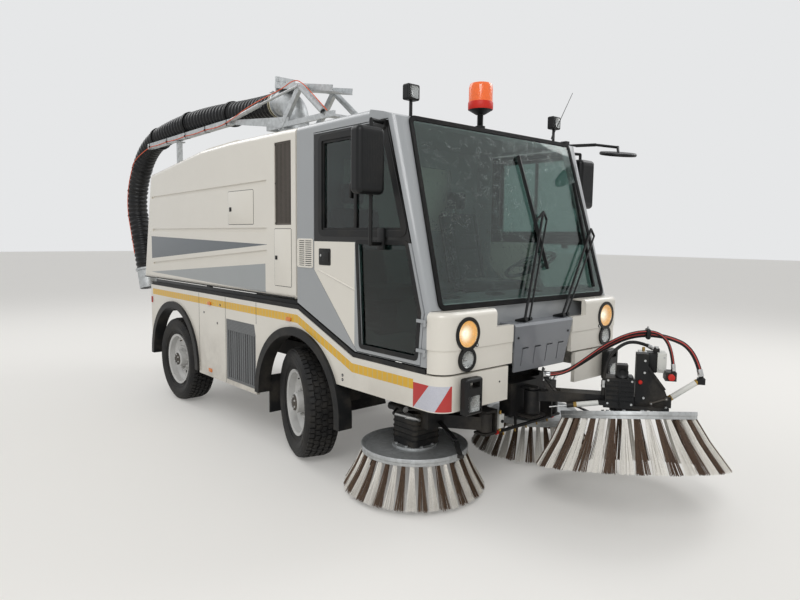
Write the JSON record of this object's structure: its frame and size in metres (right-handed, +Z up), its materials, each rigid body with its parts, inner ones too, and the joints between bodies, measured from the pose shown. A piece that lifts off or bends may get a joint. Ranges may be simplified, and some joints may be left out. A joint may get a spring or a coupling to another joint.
{
  "type": "street sweeper truck",
  "caption": "Compact road sweeper truck with a glazed cab, tipping dirt hopper, roof suction hose on a swinging boom, and a front and two side brushes.",
  "frame": {"origin": "on the road under the middle of the truck's overall length and width", "axes": "+Y points to the rear of the truck, so its front is at -Y; +X is the truck's left side; +Z is up"},
  "size_m": [2.5895, 6.6842, 3.15],
  "materials": {
    "bristle": "white and brown bristle tufts under a zinc plate",
    "cast_iron": "raw casting, oily",
    "chassis_black": "satin black chassis coat, dusty",
    "dark_grey_paint": "satin dark grey coat",
    "dark_plastic": "grained black moulding",
    "fabric": "woven seat cover",
    "glass": "green tinted safety glass",
    "grey_paint": "gloss silver grey coat",
    "lens": "clear moulded lens",
    "orange_plastic": "clear orange beacon dome",
    "rim_paint": "silver coat, dusty",
    "rubber": "matt black moulded rubber",
    "tyre": "dusty black tread rubber",
    "white_paint": "gloss white coat, slightly warm",
    "zinc": "zinc plated steel"
  },
  "bodies": {
    "truck": {"frame_rails": "chassis_black", "axles": "chassis_black", "engine": "cast_iron", "cab_shell": "grey_paint", "windscreen": "glass", "seats": "fabric", "dashboard": "dark_plastic", "cab_front": "white_paint", "centre_panel": "dark_grey_paint", "skirts": "white_paint", "side_grilles": "dark_grey_paint", "wheel_arches": "rubber", "mudflaps": "rubber", "lamp_housings": "dark_plastic", "lamp_lenses": "lens", "kerb_mirror": "dark_plastic", "wipers": "dark_plastic", "beacon": "orange_plastic", "suction_nozzle": "chassis_black", "arm_turret": "chassis_black"},
    "hopper": {"hopper_shell": "white_paint", "intake_grilles": "dark_grey_paint", "roof_vent": "white_paint", "boom_pedestal": "grey_paint"},
    "hopper_door": {"rear_door": "white_paint"},
    "boom": {"boom_frame": "zinc", "hose_elbow": "zinc", "suction_hose": "rubber", "hand_nozzle": "zinc"},
    "yoke": {"arm_yoke": "chassis_black"},
    "brush_arm_front": {"front_arm": "chassis_black", "hydraulic_hose_1": "rubber", "hydraulic_hose_2": "rubber", "hydraulic_hose_3": "rubber"},
    "front_brush": {"brush_front": "bristle"},
    "cab_door_right": {"door_right": "white_paint", "door_glass_right": "glass", "door_mirror_right": "dark_plastic"},
    "hub_right": {"knuckle_right": "cast_iron"},
    "brush_arm_right": {"side_arm_right": "chassis_black"},
    "side_brush_right": {"brush_right": "bristle"},
    "wheel_front_right": {"tyre_front_right": "tyre", "rim_front_right": "rim_paint"},
    "wheel_rear_right": {"tyre_rear_right": "tyre", "rim_rear_right": "rim_paint"},
    "cab_door_left": {"door_left": "white_paint", "door_glass_left": "glass", "door_mirror_left": "dark_plastic"},
    "hub_left": {"knuckle_left": "cast_iron"},
    "brush_arm_left": {"side_arm_left": "chassis_black"},
    "side_brush_left": {"brush_left": "bristle"},
    "wheel_front_left": {"tyre_front_left": "tyre", "rim_front_left": "rim_paint"},
    "wheel_rear_left": {"tyre_rear_left": "tyre", "rim_rear_left": "rim_paint"}
  },
  "joints": [
    {"name": "hopper_tip", "type": "hinge", "parent": "truck", "child": "hopper", "pos_m": [0, 2.31, 1.19], "axis": [-1, 0, 0], "range_deg": [0, 50]},
    {"name": "rear_door_lift", "type": "hinge", "parent": "hopper", "child": "hopper_door", "pos_m": [0, 2.30692, 2.36904], "axis": [1, 0, 0], "range_deg": [0, 80]},
    {"name": "boom_swing", "type": "hinge", "parent": "hopper", "child": "boom", "pos_m": [-0.5, 0.1, 2.655], "axis": [0, 0, 1], "range_deg": [0, 70]},
    {"name": "front_arm_swing", "type": "hinge", "parent": "truck", "child": "yoke", "pos_m": [0, -2.15, 0.617], "axis": [0, 0, 1], "range_deg": [-60, 4]},
    {"name": "front_arm_lift", "type": "hinge", "parent": "yoke", "child": "brush_arm_front", "pos_m": [0.0723, -2.25804, 0.665], "axis": [-0.8311, -0.5562, 0], "range_deg": [-3, 25]},
    {"name": "front_brush_spin", "type": "hinge", "parent": "brush_arm_front", "child": "front_brush", "pos_m": [0.352, -2.676, 0.565], "axis": [0.1785, 0.2011, 0.9632], "continuous": true},
    {"name": "door_right_hinge", "type": "hinge", "parent": "truck", "child": "cab_door_right", "pos_m": [-1.012, -2.1, 1.7], "axis": [0, 0, 1], "range_deg": [0, 70]},
    {"name": "steer_right", "type": "hinge", "parent": "truck", "child": "hub_right", "pos_m": [-0.74, -0.65, 0.433], "axis": [0, 0, 1], "range_deg": [-21.4, 54.6]},
    {"name": "side_arm_right_swing", "type": "hinge", "parent": "truck", "child": "brush_arm_right", "pos_m": [-0.38, -2.05, 0.505], "axis": [0, 0, 1], "range_deg": [0, 15]},
    {"name": "side_brush_right_spin", "type": "hinge", "parent": "brush_arm_right", "child": "side_brush_right", "pos_m": [-0.667, -1.659, 0.31], "axis": [0, 0, 1], "continuous": true},
    {"name": "wheel_front_right_spin", "type": "hinge", "parent": "hub_right", "child": "wheel_front_right", "pos_m": [-0.85883, -0.61457, 0.433], "axis": [0.9583, -0.2857, 0], "continuous": true},
    {"name": "wheel_rear_right_spin", "type": "hinge", "parent": "truck", "child": "wheel_rear_right", "pos_m": [-0.864, 1.7, 0.433], "axis": [1, 0, 0], "continuous": true},
    {"name": "door_left_hinge", "type": "hinge", "parent": "truck", "child": "cab_door_left", "pos_m": [1.012, -2.1, 1.7], "axis": [0, 0, -1], "range_deg": [0, 70]},
    {"name": "steer_left", "type": "hinge", "parent": "truck", "child": "hub_left", "pos_m": [0.74, -0.65, 0.433], "axis": [0, 0, 1], "range_deg": [-21.4, 54.6]},
    {"name": "side_arm_left_swing", "type": "hinge", "parent": "truck", "child": "brush_arm_left", "pos_m": [0.38, -2.05, 0.505], "axis": [0, 0, -1], "range_deg": [0, 15]},
    {"name": "side_brush_left_spin", "type": "hinge", "parent": "brush_arm_left", "child": "side_brush_left", "pos_m": [0.667, -1.659, 0.31], "axis": [0, 0, 1], "continuous": true},
    {"name": "wheel_front_left_spin", "type": "hinge", "parent": "hub_left", "child": "wheel_front_left", "pos_m": [0.85883, -0.68543, 0.433], "axis": [0.9583, -0.2857, 0], "continuous": true},
    {"name": "wheel_rear_left_spin", "type": "hinge", "parent": "truck", "child": "wheel_rear_left", "pos_m": [0.864, 1.7, 0.433], "axis": [1, 0, 0], "continuous": true}
  ],
  "couplings": [
    {"joint": "steer_left", "follows": "steer_right", "ratio": 1}
  ]
}
